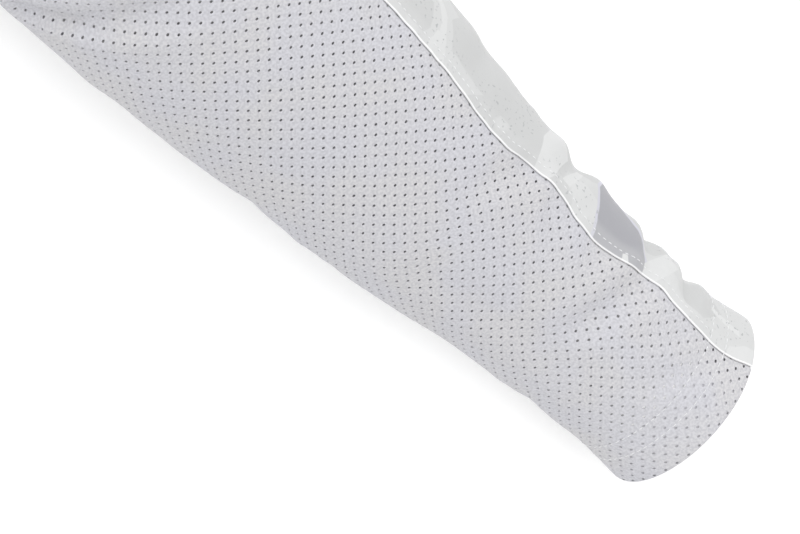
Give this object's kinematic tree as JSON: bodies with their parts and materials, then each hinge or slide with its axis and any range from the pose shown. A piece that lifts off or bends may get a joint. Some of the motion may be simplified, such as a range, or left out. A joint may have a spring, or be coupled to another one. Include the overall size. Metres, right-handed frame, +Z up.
{
  "type": "forearm sleeve",
  "caption": "Loose tapering forearm sleeve with a perforated mesh panel, a pale camouflage print panel, stitched seams and cuff hem, and an elasticated elbow hem.",
  "frame": {"origin": "middle of the footprint, on the surface that the sleeve lies on", "axes": "+X along the sleeve towards the hand, +Y across it towards the edge that the print panel wraps, +Z up, out of the mesh panel"},
  "size_m": [0.32, 0.1042, 0.0782],
  "materials": {
    "mesh_knit": "light grey eyelet knit, matt, with a grid of small round holes",
    "print_cloth": "smooth matt polyester knit with a pale grey and white camouflage print",
    "thread": "near-white polyester sewing thread",
    "elastic": "white woven elastic"
  },
  "bodies": {
    "root": {"mesh_panel": "mesh_knit", "print_panel": "print_cloth", "elbow_elastic": "elastic", "elbow_hem_outer_needle_thread": "thread", "elbow_hem_inner_needle_thread": "thread", "elbow_hem_looper_thread": "thread", "cuff_hem_outer_needle_thread": "thread", "cuff_hem_inner_needle_thread": "thread", "cuff_hem_looper_thread": "thread", "top_seam_needle_thread": "thread", "top_seam_looper_thread": "thread", "top_topstitch_needle_thread": "thread", "top_topstitch_bobbin_thread": "thread", "side_seam_needle_thread": "thread", "side_seam_looper_thread": "thread", "side_topstitch_needle_thread": "thread", "side_topstitch_bobbin_thread": "thread"}
  },
  "joints": []
}
